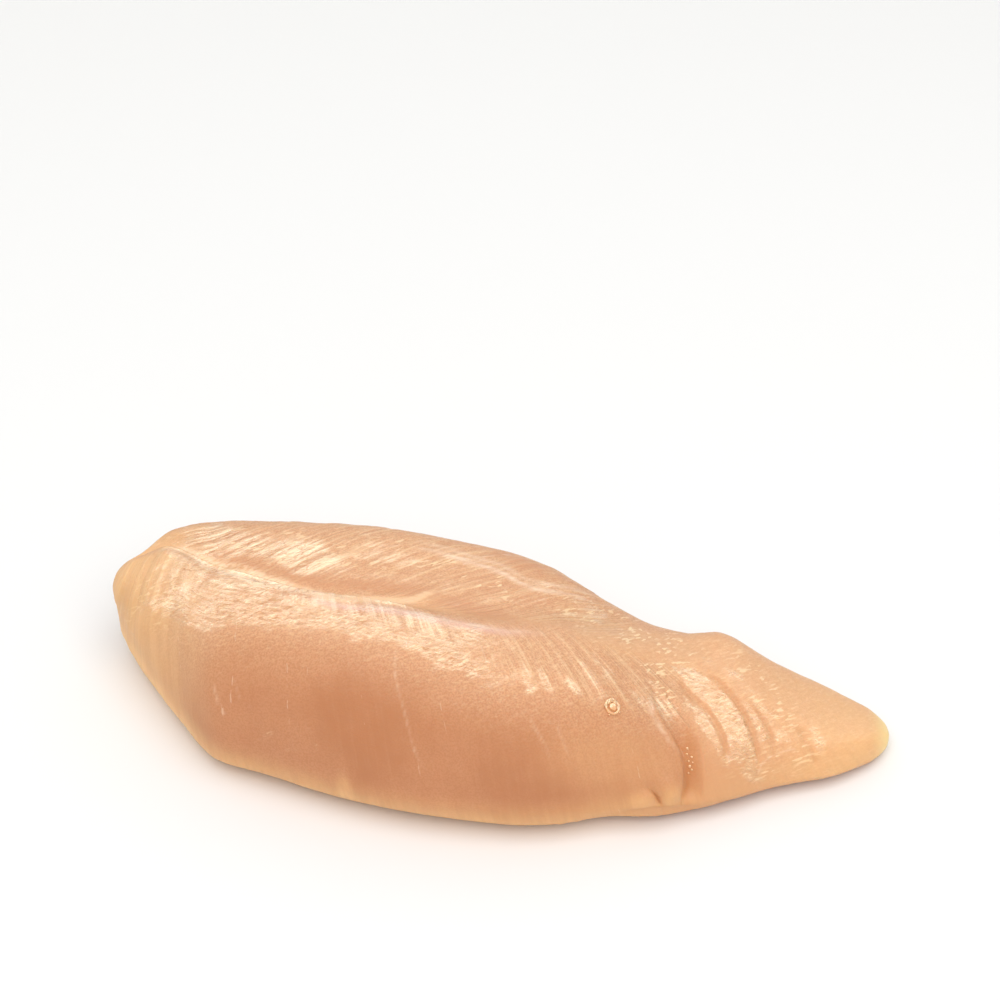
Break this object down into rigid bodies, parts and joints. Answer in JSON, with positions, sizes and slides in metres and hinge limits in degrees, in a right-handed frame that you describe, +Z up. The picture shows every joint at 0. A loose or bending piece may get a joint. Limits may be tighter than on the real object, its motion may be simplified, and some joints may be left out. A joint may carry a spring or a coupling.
{
  "type": "raw chicken breast",
  "caption": "Raw skinless, boneless chicken breast fillet: full blunt end, seam with a pale sinew between a tall and a low lobe, thin creased tail. Lies flat, smooth side up.",
  "frame": {"origin": "centre of the footprint of the fillet's bounding box, on the surface it lies on", "axes": "+X along the fillet from the blunt end to the thin tail, +Y from the tall front lobe to the low rear lobe, +Z up"},
  "size_m": [0.1812, 0.0854, 0.0405],
  "materials": {
    "raw_chicken": "moist, smooth"
  },
  "bodies": {
    "root": {"chicken_breast": "raw_chicken"}
  },
  "joints": []
}
